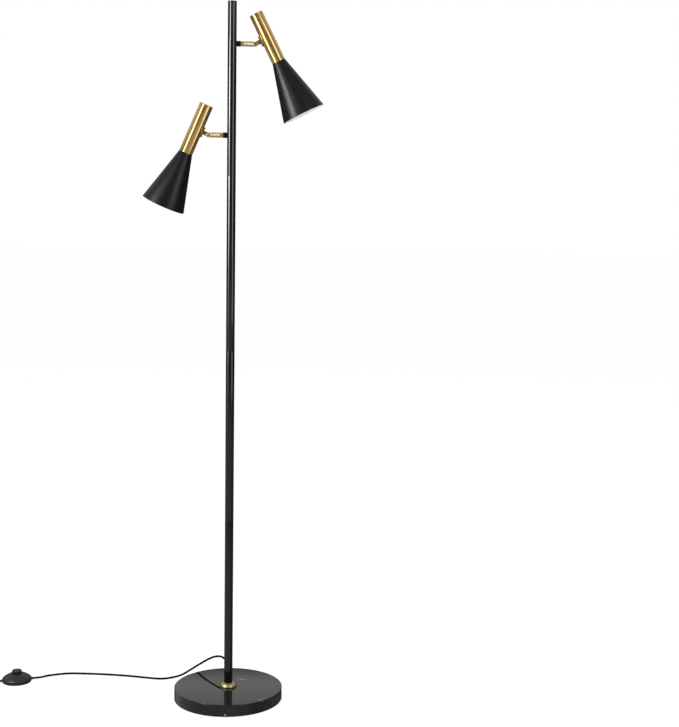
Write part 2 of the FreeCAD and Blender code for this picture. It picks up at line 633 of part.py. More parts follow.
# ---------------------------------------------------------------- lead
LR = D["lead_dia"] / 2


def cord(label, pts, radius=None):
    """Straight runs joined by tangent arcs: each arc's radius is 0.45 of its shorter run over the
    tangent of half the turn."""
    radius = radius or LR
    p = [Vector(*q) for q in pts]
    cuts, radii = [], []
    for i in range(1, len(p) - 1):
        a, b = p[i - 1] - p[i], p[i + 1] - p[i]
        la, lb = a.Length, b.Length
        a.normalize()
        b.normalize()
        turn_angle = math.pi - math.acos(max(-1, min(1, a.dot(b))))
        t = 0.45 * min(la, lb)
        radii.append((t / math.tan(turn_angle / 2), math.degrees(turn_angle)))
        cuts.append((p[i] + a * t, p[i], p[i] + b * t, a, b, t))
    edges, here = [], p[0]
    for s, m, e, a, b, t in cuts:
        if (s - here).Length > 1e-6:
            edges.append(Part.LineSegment(here, s).toShape())
        half_way = a + b
        half_way.normalize()
        cosine = half_way.dot(a)
        r = t * math.sqrt(1 - cosine * cosine) / cosine
        centre = m + half_way * (t / cosine)
        mid_pt = centre - half_way * r
        edges.append(Part.Arc(s, mid_pt, e).toShape())
        here = e
    edges.append(Part.LineSegment(here, p[-1]).toShape())
    wire = Part.Wire(edges)
    start = (p[1] - p[0])
    start.normalize()
    ring = Part.Wire([Part.Circle(p[0], start, radius).toShape()])
    pipe = wire.makePipeShell([ring], True, False)
    want = math.pi * radius ** 2 * wire.Length
    print("%s: length %.1f, volume %.1f of %.1f, least radius %.1f, radii %s" % (
        label, wire.Length, pipe.Volume, want, min(r for r, _ in radii), [(round(r), round(g)) for r, g in radii]))
    assert abs(pipe.Volume / want - 1) < 0.01, label
    low = pipe.optimalBoundingBox(True, False).ZMin
    assert low > -0.02, (label, low)
    return shape_node(label, pipe)


gland_end = (0, D["pole_dia"] / 2 + D["relief_len"], D["outlet_z"])
turned = math.radians(D["switch_turn"])
def beside_switch(out):
    return (D["switch_x"] + out * math.cos(turned), D["switch_y"] + out * math.sin(turned), D["entry_z"])
edge = D["switch_dia"] / 2 + D["switch_relief_len"]
in_end, in_near = beside_switch(edge), beside_switch(edge + 12)
out_end, out_near = beside_switch(-edge), beside_switch(-edge - 14)

ROUTE_POLE_TO_SWITCH = [
    gland_end, (0, 50, 70.5), (-7.6, 70.3, 69.6), (-18.5, 93.4, 70.3), (-38.6, 110.7, 62.5), (-68.2, 122.3, 42), (-94.6, 133.3, 21.5),
    (-115.1, 139.8, 6.8), (-134.5, 138.7, 2.5), (-151.1, 130.3, 2.5), (-170.9, 128.8, 2.5), (-202, 138.8, 2.5), (-246, 153.4, 2.5),
    (-298.6, 165.8, 2.5), (-352.2, 174, 2.5), (-397, 178.1, 2.5), (-427.7, 168.5, 2.5), (-445.2, 155.6, 4.6), in_near, in_end]
cord("cord_to_switch", ROUTE_POLE_TO_SWITCH)

ROUTE_SWITCH_TO_COIL = [
    out_end, out_near, (-591, 111.6, 2.9), (-612, 107.9, 2.5), (-632, 107.3, 2.5)]
cord("cord_to_coil", ROUTE_SWITCH_TO_COIL)

cm, cw, ch = S("coil_mean") / 2, S("coil_wide") / 2, S("coil_high")
keep(turn("cord_coil", [
    (cm - cw + 2.2, 0, 2.2001), (cm + cw - 2.2, 0), (cm + cw, 2.2, 2.2001), (cm + cw, ch - 4), (cm + cw - 4, ch, 4.0001),
    (cm - cw + 4, ch), (cm - cw, ch - 4, 4.0001), (cm - cw, 2.2)]), at(D["coil_x"], D["coil_y"], 0))

# tie: a flat band round the coil's section at its far side
band = Part.Face([
    Part.makePolygon([Vector(D["coil_mean"] / 2 - D["coil_wide"] / 2 - 1, 0, 0), Vector(D["coil_mean"] / 2 + D["coil_wide"] / 2 + 1, 0, 0),
                      Vector(D["coil_mean"] / 2 + D["coil_wide"] / 2 + 1, 0, D["coil_high"] + 1),
                      Vector(D["coil_mean"] / 2 - D["coil_wide"] / 2 - 1, 0, D["coil_high"] + 1),
                      Vector(D["coil_mean"] / 2 - D["coil_wide"] / 2 - 1, 0, 0)])])
outer = band.extrude(Vector(0, 9, 0))
outer.translate(Vector(0, -4.5, 0))
ring_solid = Part.makeCylinder(D["coil_mean"] / 2 + D["coil_wide"] / 2, D["coil_high"], Vector(0, 0, 0))
ring_solid = ring_solid.cut(Part.makeCylinder(D["coil_mean"] / 2 - D["coil_wide"] / 2, D["coil_high"], Vector(0, 0, 0)))
shape_node("cord_tie", outer.cut(ring_solid), at(D["coil_x"], D["coil_y"], 0, Rotation(AZ, 62)))

ROUTE_COIL_TO_PLUG = [
    (-675.2, 147, 10.5), (-676.2, 161, 8.4), (-676.9, 176, 4.6), (-676.5, 192, 2.9),
    (D["plug_x"], D["plug_y"] - D["relief_len"] - 16, D["plug_z"]),
    (D["plug_x"], D["plug_y"] - D["relief_len"], D["plug_z"])]
cord("cord_to_plug", ROUTE_COIL_TO_PLUG)

# the lead inside the pole: in through the gland, round a bend and straight up to the arms
oz = D["outlet_z"]
inside = [Part.LineSegment(Vector(0, 6.6, oz), Vector(0, 6.0, oz)).toShape(),
          Part.Arc(Vector(0, 6.0, oz), Vector(0, 6.0 - 6.0 * math.sin(math.pi / 4), oz + 6.0 - 6.0 * math.cos(math.pi / 4)), Vector(0, 0, oz + 6.0)).toShape(),
          Part.LineSegment(Vector(0, 0, oz + 6.0), Vector(0, 0, D["arm_upper_z"] + 8)).toShape()]
wire = Part.Wire(inside)
pipe = wire.makePipeShell([Part.Wire([Part.Circle(Vector(0, 6.6, oz), Vector(0, -1, 0), LR).toShape()])], True, False)
print("pole_lead: length %.1f, volume %.1f of %.1f" % (wire.Length, pipe.Volume, math.pi * LR ** 2 * wire.Length))
shape_node("pole_lead", pipe)

# ---------------------------------------------------------------- check and write
doc.recompute()
bad = [o.Name for o in doc.Objects if any(s in ("Invalid", "Error") for s in o.State)]
assert not bad, bad
names = [o.Label for o in NODES]
assert len(names) == len(set(names)) and len(names) <= 60, len(names)
for o in NODES:
    shape = o.Shape
    assert not shape.isNull() and shape.isValid() and shape.Volume > 0, o.Label
for o in NODES:
    o.Shape.exportStep("parts/%s.step" % o.Label)
print(len(names), "parts written")
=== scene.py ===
"""Floor lamp: a black pole on a round black marble foot, two gold and black spot heads on swivelling arms,
and a lead with a foot switch. Sizes in the helpers are in millimetres; the scene is in metres."""
import math

import bmesh
import bpy
from mathutils import Matrix, Vector


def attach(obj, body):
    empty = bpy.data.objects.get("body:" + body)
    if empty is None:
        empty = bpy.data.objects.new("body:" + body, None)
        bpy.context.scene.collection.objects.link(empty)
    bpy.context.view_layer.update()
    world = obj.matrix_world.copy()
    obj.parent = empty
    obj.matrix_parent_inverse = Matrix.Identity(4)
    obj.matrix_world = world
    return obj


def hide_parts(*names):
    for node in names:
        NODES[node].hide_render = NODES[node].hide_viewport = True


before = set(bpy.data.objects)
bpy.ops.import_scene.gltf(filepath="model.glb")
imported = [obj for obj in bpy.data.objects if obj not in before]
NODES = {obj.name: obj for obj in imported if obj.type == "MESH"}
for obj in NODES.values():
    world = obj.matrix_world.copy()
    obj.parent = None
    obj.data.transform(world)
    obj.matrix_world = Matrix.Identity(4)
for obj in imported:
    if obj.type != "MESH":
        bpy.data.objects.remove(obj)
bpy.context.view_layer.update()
MM = 0.001
scene = bpy.context.scene

# ------------------------------------------------------------------ camera
PITCH, YAW, ROLL = 0.103786, 0.084039, 0.014925
FOCAL_PX = 1304.788
ahead = Vector((math.sin(YAW) * math.cos(PITCH), math.cos(YAW) * math.cos(PITCH), -math.sin(PITCH)))
level = Vector((math.cos(YAW), -math.sin(YAW), 0))
upward = level.cross(ahead)
right = math.cos(ROLL) * level + math.sin(ROLL) * upward
top = -math.sin(ROLL) * level + math.cos(ROLL) * upward
cam_data = bpy.data.cameras.new("camera")
cam_data.sensor_fit = "HORIZONTAL"
cam_data.sensor_width = 36
cam_data.lens = FOCAL_PX / 679 * 36
cam_data.clip_start, cam_data.clip_end = 0.05, 200
camera = bpy.data.objects.new("camera", cam_data)
scene.collection.objects.link(camera)
camera.matrix_world = Matrix((
    (right.x, top.x, -ahead.x, 0.0),
    (right.y, top.y, -ahead.y, -3.0),
    (right.z, top.z, -ahead.z, 1.11004),
    (0, 0, 0, 1)))
scene.camera = camera


# ------------------------------------------------------------------ cords
LEAD = 0.005


def cord_curve(name, points):
    data = bpy.data.curves.new(name, "CURVE")
    data.dimensions = "3D"
    data.resolution_u = 10
    data.bevel_depth = 1.0         # times each point's own radius
    data.bevel_resolution = 5
    data.use_fill_caps = True
    spline = data.splines.new("NURBS")
    spline.points.add(len(points) - 1)
    for point, place in zip(spline.points, points):
        point.co = (*place, 1)
        point.radius = LEAD / 2
    spline.order_u = 3
    spline.use_endpoint_u = True
    obj = bpy.data.objects.new(name, data)
    scene.collection.objects.link(obj)
    return obj


POLE_TO_SWITCH = [
    (0, 0.032, 0.0705), (0, 0.050, 0.0705), (-0.0076, 0.0703, 0.0696), (-0.0185, 0.0934, 0.0703), (-0.0386, 0.1107, 0.0625),
    (-0.0682, 0.1223, 0.042), (-0.0946, 0.1333, 0.0215), (-0.1151, 0.1398, 0.0068), (-0.1345, 0.1387, 0.0025),
    (-0.1511, 0.1303, 0.0025), (-0.1709, 0.1288, 0.0025), (-0.202, 0.1388, 0.0025), (-0.246, 0.1534, 0.0025),
    (-0.2986, 0.1658, 0.0025), (-0.3522, 0.174, 0.0025), (-0.397, 0.1781, 0.0025), (-0.4277, 0.1685, 0.0025),
    (-0.4452, 0.1556, 0.0046), (-0.454958, 0.144438, 0.005), (-0.466651, 0.141739, 0.005)]
SWITCH_TO_COIL = [
    (-0.557949, 0.120661, 0.005), (-0.571590, 0.117512, 0.005), (-0.591, 0.1116, 0.0029), (-0.612, 0.1079, 0.0025)]
COIL_TO_PLUG = [
    (-0.6762, 0.161, 0.0084), (-0.6769, 0.176, 0.0046), (-0.6765, 0.192, 0.0029),
    (-0.676, 0.209, 0.0076), (-0.676, 0.225, 0.0076)]
COIL_X, COIL_Y = -0.641, 0.141

# the put-away length, wound clockwise seen from above: ring by ring, each ring a lead's width from the next
RINGS = [(33.5, 2.5), (28.4, 2.5), (23.3, 2.5), (25.9, 6.9), (31.0, 6.9), (28.5, 11.3)]
STEPS = 16


def coil_points():
    found = []
    total = len(RINGS) * STEPS
    for k in range(total + 1):
        turn, share = divmod(k, STEPS)
        share /= STEPS
        here = RINGS[min(turn, len(RINGS) - 1)]
        after = RINGS[min(turn + 1, len(RINGS) - 1)]
        s = min(1.0, max(0.0, (share - 0.80) / 0.20))
        s = s * s * (3 - 2 * s)
        r = here[0] + (after[0] - here[0]) * s
        z = here[1] + (after[1] - here[1]) * s
        angle = math.radians(-75) - 2 * math.pi * k / STEPS
        r += 0.18 * math.sin(2 * angle + 1.7 * turn)
        r /= 0.987
        found.append((COIL_X + r * MM * math.cos(angle), COIL_Y + r * MM * math.sin(angle), z * MM))
    for degrees, r, z in ((-95, 28.9, 11.5), (-113, 29.8, 11.8), (-131, 31.4, 12.0), (-149, 33.0, 11.9), (-167, 34.6, 11.3)):
        angle = math.radians(degrees)
        found.append((COIL_X + r * MM * math.cos(angle), COIL_Y + r * MM * math.sin(angle), z * MM))
    return found


lead_one = cord_curve("lead_to_switch", POLE_TO_SWITCH)
lead_two = cord_curve("lead_to_plug", SWITCH_TO_COIL + coil_points() + COIL_TO_PLUG)
for lead, stood_for in ((lead_one, ["cord_to_switch"]), (lead_two, ["cord_to_coil", "cord_coil", "cord_to_plug"])):
    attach(lead, "root")
    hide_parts(*stood_for)


# ------------------------------------------------------------------ materials
def node(tree, kind, **settings):
    made = tree.nodes.new("ShaderNode" + kind)
    for key, value in settings.items():
        if key in made.inputs:
            made.inputs[key].default_value = value
        else:
            setattr(made, key, value)
    return made


def link(tree, a, b):
    tree.links.new(a, b)


def new_material(name, **sockets):
    made = bpy.data.materials.get(name)
    if made is not None:
        made.name = name + "_packed"
    made = bpy.data.materials.new(name)
    made.use_nodes = True
    tree = made.node_tree
    shader = tree.nodes["Principled BSDF"]
    for key, value in sockets.items():
        shader.inputs[key.replace("_", " ")].default_value = value
    coords = node(tree, "TexCoord")
    return made, tree, shader, coords.outputs["Object"]


def stretched(tree, coords, scale):
    mapping = node(tree, "Mapping")
    mapping.inputs["Scale"].default_value = scale
    link(tree, coords, mapping.inputs["Vector"])
    return mapping.outputs["Vector"]


def noise(tree, coords, scale, detail=2.0, rough=0.5, distortion=0.0):
    made = node(tree, "TexNoise", Scale=scale, Detail=detail, Roughness=rough, Distortion=distortion)
    link(tree, coords, made.inputs["Vector"])
    return made.outputs["Fac"]


def between(tree, value, low, high, to_low, to_high, clamp=True, smooth=False):
    made = node(tree, "MapRange", clamp=clamp)
    if smooth:
        made.interpolation_type = "SMOOTHSTEP"
    made.inputs["From Min"].default_value = low
    made.inputs["From Max"].default_value = high
    made.inputs["To Min"].default_value = to_low
    made.inputs["To Max"].default_value = to_high
    link(tree, value, made.inputs["Value"])
    return made.outputs["Result"]


def two_colours(tree, value, dark, light):
    made = node(tree, "Mix", data_type="RGBA")
    made.inputs["A"].default_value = (*dark, 1)
    made.inputs["B"].default_value = (*light, 1)
    # the colour sockets are the last of each name on this node
    a = [s for s in made.inputs if s.name == "A" and s.type == "RGBA"][0]
    b = [s for s in made.inputs if s.name == "B" and s.type == "RGBA"][0]
    a.default_value, b.default_value = (*dark, 1), (*light, 1)
    link(tree, value, made.inputs["Factor"])
    return [s for s in made.outputs if s.type == "RGBA"][0]


def calc(tree, operation, a, b=None, clamp=False):
    made = node(tree, "Math", operation=operation, use_clamp=clamp)
    for socket, value in zip(made.inputs, (a, b)):
        if value is None:
            continue
        if isinstance(value, (int, float)):
            socket.default_value = value
        else:
            link(tree, value, socket)
    return made.outputs["Value"]


def bump(tree, shader, height, strength, distance, before=None):
    made = node(tree, "Bump", Strength=strength, Distance=distance)
    link(tree, height, made.inputs["Height"])
    if before is not None:
        link(tree, before, made.inputs["Normal"])
    link(tree, made.outputs["Normal"], shader.inputs["Normal"])
    return made.outputs["Normal"]


def powder_coat(name, dark, light, rough_low, rough_high, grain, strength, **sockets):
    """Paint: a fine orange peel, a faint cloud in its shine and a little dust."""
    made, tree, shader, coords = new_material(name, **sockets)
    cloud = noise(tree, coords, 22, 3)
    peel = noise(tree, coords, grain, 2)
    dust = noise(tree, coords, 2600, 1)
    tone = calc(tree, "ADD", calc(tree, "MULTIPLY", cloud, 0.6), calc(tree, "MULTIPLY", dust, 0.4))
    link(tree, two_colours(tree, tone, dark, light), shader.inputs["Base Color"])
    link(tree, between(tree, cloud, 0.3, 0.7, rough_low, rough_high), shader.inputs["Roughness"])
    bump(tree, shader, peel, strength, 0.00006)
    return made


def brushed(name, dark, light, rough_low, rough_high, aniso, lines, strength, turn=0.25, axis="Z"):
    """Metal that was brushed round its own upright axis, with its fine lines across it."""
    made, tree, shader, coords = new_material(name, Metallic=1.0, Anisotropic=aniso, Anisotropic_Rotation=turn)
    tangent = node(tree, "Tangent", direction_type="RADIAL", axis=axis)
    link(tree, tangent.outputs["Tangent"], shader.inputs["Tangent"])
    fine = noise(tree, stretched(tree, coords, (40, 40, lines) if axis == "Z" else (lines, 40, 40)), 1.0, 3, 0.6)
    broad = noise(tree, stretched(tree, coords, (14, 14, 120)), 1.0, 2)
    tone = calc(tree, "ADD", calc(tree, "MULTIPLY", fine, 0.65), calc(tree, "MULTIPLY", broad, 0.35))
    link(tree, two_colours(tree, between(tree, tone, 0.3, 0.7, 0, 1), dark, light), shader.inputs["Base Color"])
    link(tree, between(tree, tone, 0.3, 0.7, rough_high, rough_low), shader.inputs["Roughness"])
    bump(tree, shader, fine, strength, 0.00003)
    return made


def moulded(name, dark, light, rough_low, rough_high, grain, strength, **sockets):
    """Plastic or rubber out of a mould: an even fine grain and soft marks in its shine."""
    made, tree, shader, coords = new_material(name, **sockets)
    marks = noise(tree, coords, 60, 4, 0.6)
    fine = noise(tree, coords, grain, 1)
    link(tree, two_colours(tree, calc(tree, "MULTIPLY", marks, fine), dark, light), shader.inputs["Base Color"])
    link(tree, between(tree, marks, 0.3, 0.7, rough_low, rough_high), shader.inputs["Roughness"])
    bump(tree, shader, fine, strength, 0.00005)
    return made


GOLD_DARK, GOLD_LIGHT = (0.64, 0.43, 0.15), (0.80, 0.55, 0.23)
MAT = {}
MAT["pole_black"] = powder_coat("pole_black_paint", (0.0010, 0.0010, 0.0011), (0.0024, 0.0024, 0.0025), 0.11, 0.14, 900, 0.004, Specular_IOR_Level=0.7)
MAT["shade_black"] = powder_coat("shade_black_paint", (0.0018, 0.0018, 0.0020), (0.0040, 0.0040, 0.0044), 0.33, 0.39, 1100, 0.05, Specular_IOR_Level=0.28)
MAT["shade_white"] = powder_coat("shade_white_paint", (0.87, 0.87, 0.86), (0.93, 0.93, 0.92), 0.42, 0.52, 1100, 0.10)
MAT["gold_brushed"] = brushed("gold_brushed_metal", GOLD_DARK, GOLD_LIGHT, 0.13, 0.19, 0.75, 5200, 0.012)
MAT["gold_end"] = brushed("gold_brushed_end", GOLD_DARK, GOLD_LIGHT, 0.24, 0.34, 0.5, 400, 0.06, 0.0)
MAT["gold_polished"] = brushed("gold_polished_metal", GOLD_DARK, GOLD_LIGHT, 0.12, 0.18, 0.0, 1500, 0.03)
# painted light: a paler, lighter copy of the brass that stands in for the light on the arm rods
MAT["gold_rod"] = brushed("gold_rod_metal", (0.78, 0.60, 0.33), (0.92, 0.73, 0.44), 0.34, 0.42, 0.9, 5200, 0.012, 0.25, "X")
# painted shade: a darker, duller copy of the brass that stands in for the shade on the foot ring
MAT["gold_ring"] = brushed("gold_ring_metal", (0.44, 0.33, 0.15), (0.56, 0.43, 0.21), 0.34, 0.42, 0.3, 2600, 0.06)
# painted shade: a dark brown copy of the brass that stands in for the shade on the saddle brackets and their screws
MAT["gold_bracket"] = brushed("gold_bracket_metal", (0.24, 0.14, 0.07), (0.36, 0.22, 0.12), 0.36, 0.46, 0.0, 900, 0.03)
MAT["collar_black"] = powder_coat("collar_black_paint", (0.0010, 0.0010, 0.0011), (0.0024, 0.0024, 0.0025), 0.24, 0.30, 900, 0.08, Specular_IOR_Level=0.22)
MAT["rubber_black"] = moulded("rubber_black_soft", (0.008, 0.008, 0.008), (0.018, 0.018, 0.018), 0.45, 0.60, 1500, 0.12)
MAT["lead_black"] = moulded("lead_black_sheath", (0.0012, 0.0012, 0.0012), (0.004, 0.004, 0.004), 0.46, 0.58, 1200, 0.08, Specular_IOR_Level=0.12)
MAT["switch_black"] = moulded("switch_black_shell", (0.009, 0.009, 0.009), (0.024, 0.024, 0.024), 0.36, 0.48, 1800, 0.16, Specular_IOR_Level=0.42)
MAT["plug_black"] = moulded("plug_black_shell", (0.010, 0.010, 0.010), (0.022, 0.022, 0.022), 0.38, 0.50, 1600, 0.14)
MAT["holder_black"] = moulded("holder_black_shell", (0.014, 0.014, 0.014), (0.030, 0.030, 0.030), 0.40, 0.55, 1400, 0.10)


def marble():
    made, tree, shader, coords = new_material("marble_polished")
    cloud = noise(tree, coords, 16, 6, 0.62, 0.8)
    fleck = noise(tree, coords, 420, 3, 0.6)
    tone = calc(tree, "ADD", calc(tree, "MULTIPLY", cloud, 0.75), calc(tree, "MULTIPLY", fleck, 0.25))
    body = two_colours(tree, between(tree, tone, 0.35, 0.68, 0, 1), (0.0035, 0.0035, 0.0042), (0.014, 0.014, 0.0155))

    warp = node(tree, "TexNoise", Scale=18, Detail=5.0, Roughness=0.6)
    link(tree, coords, warp.inputs["Vector"])
    shift = node(tree, "VectorMath", operation="SCALE")
    shift.inputs["Scale"].default_value = 0.016
    centred = node(tree, "VectorMath", operation="SUBTRACT")
    centred.inputs[1].default_value = (0.5, 0.5, 0.5)
    link(tree, warp.outputs["Color"], centred.inputs[0])
    link(tree, centred.outputs["Vector"], shift.inputs[0])
    added = node(tree, "VectorMath", operation="ADD")
    link(tree, coords, added.inputs[0])
    link(tree, shift.outputs["Vector"], added.inputs[1])
    warped = added.outputs["Vector"]

    vein_and_highlight_masks = []

    def vein_and_highlight(x, y, z, degrees, length, width, strength, depth=(0.004, 0.014)):
        """A thin white line on the stone, near (x, y, z) and along that bearing; a short, wide one is a painted
        highlight.
        """
        mapping = node(tree, "Mapping", vector_type="TEXTURE")
        mapping.inputs["Location"].default_value = (x * MM, y * MM, z * MM)
        mapping.inputs["Rotation"].default_value = (0, 0, math.radians(degrees))
        link(tree, warped, mapping.inputs["Vector"])
        split = node(tree, "SeparateXYZ")
        link(tree, mapping.outputs["Vector"], split.inputs["Vector"])
        along = between(tree, calc(tree, "ABSOLUTE", split.outputs["X"]), length * MM * 0.25, length * MM * 0.5, 1, 0, smooth=True)
        across = between(tree, calc(tree, "ABSOLUTE", split.outputs["Y"]), 0, width * MM, 1, 0, smooth=True)
        deep = between(tree, calc(tree, "ABSOLUTE", split.outputs["Z"]), *depth, 1, 0, smooth=True)
        mask = calc(tree, "MULTIPLY", calc(tree, "MULTIPLY", along, across), deep)
        broken = between(tree, noise(tree, coords, 150, 3), 0.32, 0.6, 0.25, 1)
        vein_and_highlight_masks.append(calc(tree, "MULTIPLY", calc(tree, "MULTIPLY", mask, broken), strength))

    vein_and_highlight(36, 41.5, 28.5, 3, 26, 1.3, 0.95)
    vein_and_highlight(64, 28, 28.5, -32, 38, 0.8, 0.35)
    vein_and_highlight(77, -99, 28.5, -38, 26, 1.4, 0.75, (0.0008, 0.004))
    vein_and_highlight(79, -90, 28.5, 20, 18, 0.9, 0.35)
    # painted highlight: a small white spot low on the front of the stone, where a glint of light falls, not a vein
    vein_and_highlight(-7.0, -126.4, 6.2, 10, 4, 2.2, 1.0, (0.0008, 0.003))
    vein_and_highlight(-70, 40, 28.5, 62, 50, 0.6, 0.12)
    vein_and_highlight(-30, -75, 28.5, -15, 46, 0.6, 0.10)
    vein_and_highlight(117, 30, 15, 70, 30, 1.0, 0.3)
    vein_and_highlight(-119, -20, 13, 80, 34, 0.9, 0.25)
    vein_and_highlight(20, 121, 15, 5, 34, 1.0, 0.3)
    total = vein_and_highlight_masks[0]
    for other in vein_and_highlight_masks[1:]:
        total = calc(tree, "MAXIMUM", total, other)
    # hairlines through the whole stone
    hair = noise(tree, warped, 9, 3, 0.5, 0.6)
    hairline = between(tree, calc(tree, "ABSOLUTE", calc(tree, "SUBTRACT", hair, 0.5)), 0.0, 0.006, 0.10, 0)
    rare = between(tree, noise(tree, coords, 11, 2), 0.52, 0.66, 0, 1)
    total = calc(tree, "MAXIMUM", total, calc(tree, "MULTIPLY", hairline, rare))
    mix = node(tree, "Mix", data_type="RGBA")
    a, b = [s for s in mix.inputs if s.type == "RGBA"]
    b.default_value = (0.62, 0.62, 0.61, 1)
    link(tree, body, a)
    link(tree, total, mix.inputs["Factor"])
    link(tree, [s for s in mix.outputs if s.type == "RGBA"][0], shader.inputs["Base Color"])
    link(tree, between(tree, cloud, 0.3, 0.7, 0.035, 0.07), shader.inputs["Roughness"])
    return made


def felt():
    made, tree, shader, coords = new_material("felt_black_pad", Sheen_Weight=0.4, Sheen_Roughness=0.5)
    fibres = noise(tree, coords, 1500, 4, 0.7, 1.0)
    clumps = noise(tree, coords, 240, 3)
    link(tree, two_colours(tree, calc(tree, "MULTIPLY", fibres, clumps), (0.010, 0.010, 0.010), (0.06, 0.06, 0.06)), shader.inputs["Base Color"])
    link(tree, between(tree, clumps, 0.3, 0.7, 0.86, 0.98), shader.inputs["Roughness"])
    bump(tree, shader, fibres, 0.6, 0.0002)
    return made


def zinc():
    made, tree, shader, coords = new_material("zinc_plated", Metallic=1.0)
    spangle = noise(tree, coords, 320, 2)
    link(tree, two_colours(tree, spangle, (0.42, 0.42, 0.42), (0.66, 0.66, 0.63)), shader.inputs["Base Color"])
    link(tree, between(tree, spangle, 0.3, 0.7, 0.28, 0.42), shader.inputs["Roughness"])
    bump(tree, shader, noise(tree, coords, 1400, 2), 0.08, 0.00005)
    return made


def blade_brass():
    made, tree, shader, coords = new_material("blade_brass", Metallic=1.0)
    drawn = noise(tree, stretched(tree, coords, (2400, 60, 2400)), 1.0, 2)
    link(tree, two_colours(tree, drawn, (0.60, 0.46, 0.20), (0.78, 0.62, 0.32)), shader.inputs["Base Color"])
    link(tree, between(tree, drawn, 0.3, 0.7, 0.22, 0.34), shader.inputs["Roughness"])
    bump(tree, shader, drawn, 0.08, 0.00003)
    return made


def opal():
    made, tree, shader, coords = new_material("bulb_opal_glass", Subsurface_Weight=0.25, Subsurface_Scale=0.004, Coat_Weight=0.3, Coat_Roughness=0.06)
    tint = noise(tree, coords, 45, 3)
    link(tree, two_colours(tree, tint, (0.86, 0.85, 0.81), (0.92, 0.915, 0.89)), shader.inputs["Base Color"])
    link(tree, between(tree, tint, 0.3, 0.7, 0.20, 0.28), shader.inputs["Roughness"])
    return made


def woven():
    made, tree, shader, coords = new_material("tie_black_woven", Sheen_Weight=0.25, Sheen_Roughness=0.4)
    weave = node(tree, "TexWave", wave_type="BANDS", bands_direction="Z", Scale=260.0, Distortion=1.2, Detail=2.0)
    link(tree, coords, weave.inputs["Vector"])
    cross = node(tree, "TexWave", wave_type="BANDS", bands_direction="Y", Scale=220.0, Distortion=0.6, Detail=1.0)
    link(tree, coords, cross.inputs["Vector"])
    both = calc(tree, "MULTIPLY", weave.outputs["Fac"], cross.outputs["Fac"])
    link(tree, two_colours(tree, both, (0.008, 0.008, 0.008), (0.045, 0.045, 0.045)), shader.inputs["Base Color"])
    link(tree, between(tree, both, 0, 1, 0.75, 0.55), shader.inputs["Roughness"])
    bump(tree, shader, both, 0.5, 0.0002)
    return made


MAT["marble"] = marble()
MAT["felt"] = felt()
MAT["zinc_steel"] = zinc()
MAT["plug_blades"] = blade_brass()
MAT["bulb_opal"] = opal()
MAT["tie_black"] = woven()

for cad in NODES.values():
    for index, old in enumerate(list(cad.data.materials)):
        cad.data.materials[index] = MAT[old.name.split(".")[0]]
for name, finish in (("upper_arm_rod", "gold_rod"), ("lower_arm_rod", "gold_rod"), ("foot_ring", "gold_ring"), ("upper_arm_collar", "collar_black"),
                     ("lower_arm_collar", "collar_black"), ("upper_head_bracket", "gold_bracket"), ("lower_head_bracket", "gold_bracket")):
    NODES[name].data.materials[0] = MAT[finish]
lead_one.data.materials.append(MAT["lead_black"])
lead_two.data.materials.append(MAT["lead_black"])


# ------------------------------------------------------------------ mesh helpers
def rounded(points, steps=5, closed=False):
    """(r, z, radius) corners made into a line with arcs; a corner with no radius stays sharp."""
    found, n = [], len(points)
    for i, p in enumerate(points):
        radius = p[2] if len(p) > 2 else 0
        here = Vector((p[0], p[1]))
        if not radius or (not closed and i in (0, n - 1)):
            found.append((here.x, here.y))
            continue
        before, after = Vector(points[i - 1][:2]), Vector(points[(i + 1) % n][:2])
        a, b = (before - here).normalized(), (after - here).normalized()
        turn = math.pi - a.angle(b)
        if turn < 0.02:
            found.append((here.x, here.y))
            continue
        cut = min(radius * math.tan(turn / 2), 0.49 * (before - here).length, 0.49 * (after - here).length)
        radius = cut / math.tan(turn / 2)
        centre = here + (a + b).normalized() * math.hypot(radius, cut)
        start, end = here + a * cut, here + b * cut
        first, last = math.atan2(*(start - centre).yx), math.atan2(*(end - centre).yx)
        swing = (last - first + math.pi) % (2 * math.pi) - math.pi
        count = max(2, math.ceil(steps * abs(swing) / (math.pi / 2)) + 1)
        for k in range(count + 1):
            angle = first + swing * k / count
            found.append((centre.x + radius * math.cos(angle), centre.y + radius * math.sin(angle)))
    return found


def finish_mesh(name, bm, matrix, body, stands_for, materials, sharp=32):
    mesh = bpy.data.meshes.new(name)
    bmesh.ops.recalc_face_normals(bm, faces=bm.faces)
    bm.to_mesh(mesh)
    bm.free()
    mesh.shade_smooth()
    mesh.set_sharp_from_angle(angle=math.radians(sharp))
    for m in materials:
        mesh.materials.append(m)
    obj = bpy.data.objects.new(name, mesh)
    scene.collection.objects.link(obj)
    obj.matrix_world = matrix
    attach(obj, body)
    if stands_for:
        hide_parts(*stands_for)
    return obj


def lathe_into(bm, points, segments, closed, wrap=None, choose=None):
    """Turns a line of (r, z) points, in mm, round the upright axis."""
    rings = []
    for r, z in points:
        if r < 1e-6:
            rings.append([bm.verts.new((0, 0, z * MM))])
            continue
        ring = []
        for k in range(segments):
            angle = 2 * math.pi * k / segments
            radius = r if wrap is None else wrap(r, z, angle)
            ring.append(bm.verts.new((radius * MM * math.cos(angle), radius * MM * math.sin(angle), z * MM)))
        rings.append(ring)
    count = len(rings)
    for i in range(count if closed else count - 1):
        a, b = rings[i], rings[(i + 1) % count]
        for k in range(segments):
            m = (k + 1) % segments
            if len(a) == 1 and len(b) == 1:
                break
            if len(a) == 1:
                face = bm.faces.new((a[0], b[k], b[m]))
            elif len(b) == 1:
                face = bm.faces.new((a[k], b[0], a[m]))
            else:
                face = bm.faces.new((a[k], b[k], b[m], a[m]))
            if choose is not None:
                face.material_index = choose(points[i], points[(i + 1) % count])
    return bm


